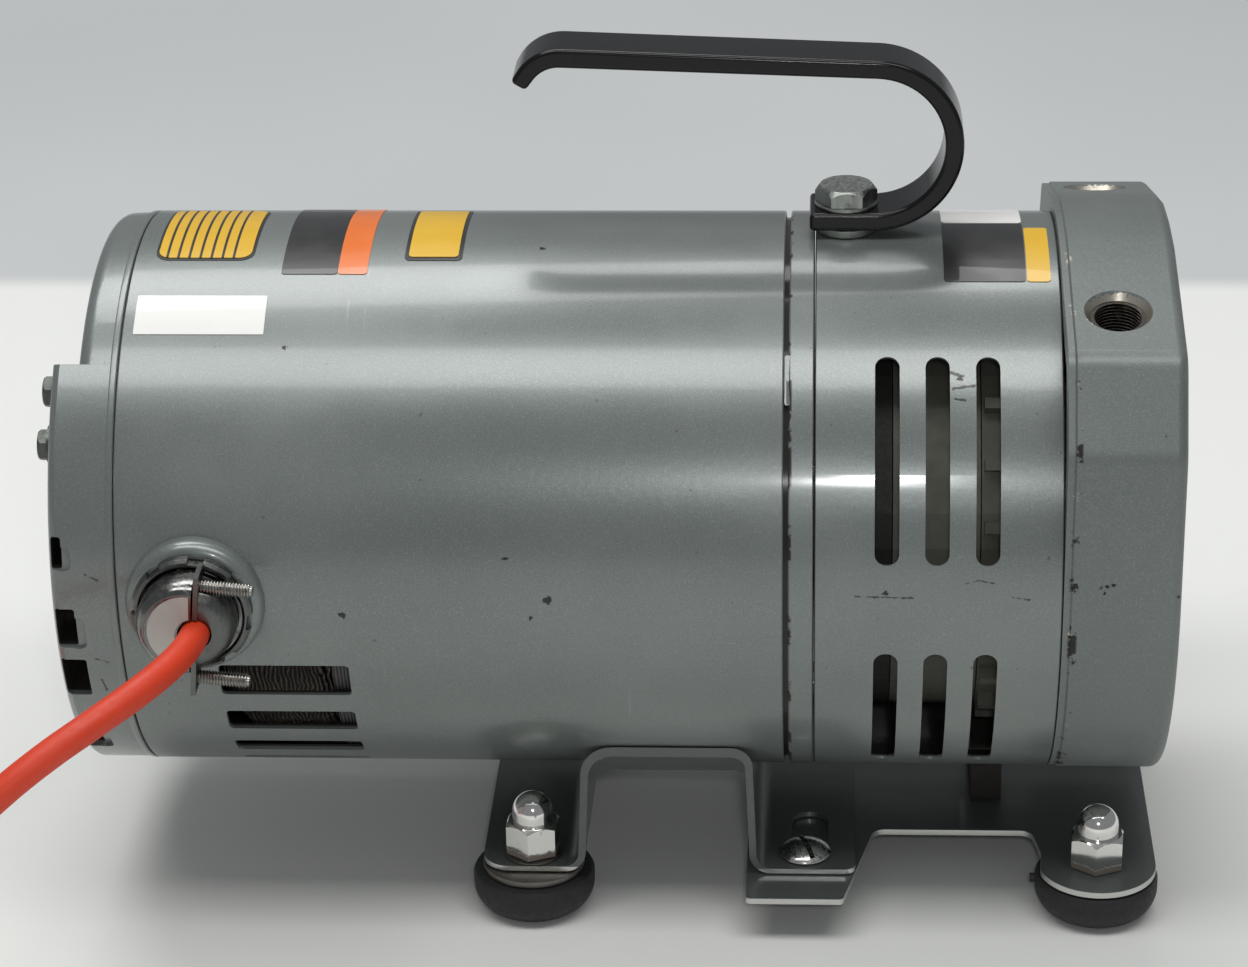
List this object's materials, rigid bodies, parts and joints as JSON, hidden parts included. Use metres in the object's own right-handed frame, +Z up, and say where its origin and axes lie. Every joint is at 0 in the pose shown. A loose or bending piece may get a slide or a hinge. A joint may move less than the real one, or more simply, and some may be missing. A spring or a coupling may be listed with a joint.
{
  "type": "rotary vane vacuum pump",
  "caption": "Electric rotary vane vacuum pump with a cylindrical motor, slotted shroud, ported end cap, hook handle and rubber-footed base",
  "frame": {"origin": "on the floor, under the middle of the pump without its cord", "axes": "+X along the shaft towards the pump end, +Y away from the side with the cord gland, +Z up"},
  "size_m": [0.5622, 0.2484, 0.2436],
  "materials": {
    "enamel": "semi-gloss grey-green metallic enamel, lightly worn",
    "bracket_paint": "grey-green enamel on sheet steel with bright cut edges",
    "dark_cover": "black painted sheet",
    "zinc_steel": "zinc-plated steel, slightly dull",
    "nut_chrome": "bright plated acorn nut with grime at its base",
    "bearing_steel": "ground steel",
    "cast_iron": "grey cast iron",
    "lamination": "varnished steel laminations",
    "copper_wire": "varnished copper wire",
    "fan_plastic": "black moulded plastic",
    "carbon": "self-lubricating carbon",
    "felt": "pressed felt",
    "handle_black": "gloss black coating on strap steel",
    "foot_rubber": "black moulded rubber",
    "cord_jacket": "orange-red vinyl cord jacket",
    "plug_rubber": "black moulded plug"
  },
  "bodies": {
    "pump_frame": {"acorn_nut_front_left": "nut_chrome", "acorn_nut_front_right": "nut_chrome", "acorn_nut_rear_left": "nut_chrome", "acorn_nut_rear_right": "nut_chrome", "base_plate": "bracket_paint", "cap_bolt_1": "zinc_steel", "cap_bolt_2": "zinc_steel", "cap_gasket": "enamel", "cord": "cord_jacket", "cord_coil": "cord_jacket", "cradle_screw_front": "zinc_steel", "cradle_screw_rear": "zinc_steel", "drive_end_bell": "enamel", "end_bolt_1": "zinc_steel", "end_bolt_2": "zinc_steel", "end_cap": "enamel", "foot_front_left": "foot_rubber", "foot_front_right": "foot_rubber", "foot_rear_left": "foot_rubber", "foot_rear_right": "foot_rubber", "foot_washer_front_left": "zinc_steel", "foot_washer_rear_left": "zinc_steel", "front_bearing": "bearing_steel", "front_winding": "copper_wire", "gland_body": "zinc_steel", "gland_locknut": "zinc_steel", "gland_ring": "enamel", "gland_screw_lower": "zinc_steel", "gland_screw_upper": "zinc_steel", "gland_strap": "zinc_steel", "handle": "handle_black", "handle_bolt": "zinc_steel", "handle_nut": "zinc_steel", "handle_spacer": "zinc_steel", "handle_washer": "zinc_steel", "inlet_felt": "felt", "inner_end_plate": "cast_iron", "motor_cradle": "bracket_paint", "motor_shell": "enamel", "nut_washer_front_left": "zinc_steel", "nut_washer_rear_left": "zinc_steel", "outer_end_plate": "cast_iron", "outlet_felt": "felt", "plug": "plug_rubber", "pump_body": "cast_iron", "rear_bearing": "bearing_steel", "rear_cover_plate": "dark_cover", "rear_end_bell": "enamel", "rear_winding": "copper_wire", "shroud": "enamel", "stator_core": "lamination"},
    "rotor": {"shaft": "bearing_steel", "motor_rotor": "lamination", "cooling_fan": "fan_plastic", "pump_rotor": "bearing_steel"},
    "vane_1": {"vane_1": "carbon"},
    "vane_2": {"vane_2": "carbon"},
    "vane_3": {"vane_3": "carbon"},
    "vane_4": {"vane_4": "carbon"},
    "switch": {"switch_collar": "fan_plastic"}
  },
  "joints": [
    {"name": "shaft_spin", "type": "hinge", "parent": "pump_frame", "child": "rotor", "pos_m": [0, 0, 0.1091], "axis": [1, 0, 0], "continuous": true},
    {"name": "vane_1_slide", "type": "slide", "parent": "rotor", "child": "vane_1", "axis": [0, -1, 0], "range_m": [-0.0055, 0]},
    {"name": "vane_2_slide", "type": "slide", "parent": "rotor", "child": "vane_2", "axis": [0, 0, 1], "range_m": [-0.0055, 0]},
    {"name": "vane_3_slide", "type": "slide", "parent": "rotor", "child": "vane_3", "axis": [0, 1, 0], "range_m": [-0.0055, 0]},
    {"name": "vane_4_slide", "type": "slide", "parent": "rotor", "child": "vane_4", "axis": [0, 0, -1], "range_m": [-0.0055, 0]},
    {"name": "switch_slide", "type": "slide", "parent": "rotor", "child": "switch", "axis": [1, 0, 0], "range_m": [0, 0.004]}
  ]
}
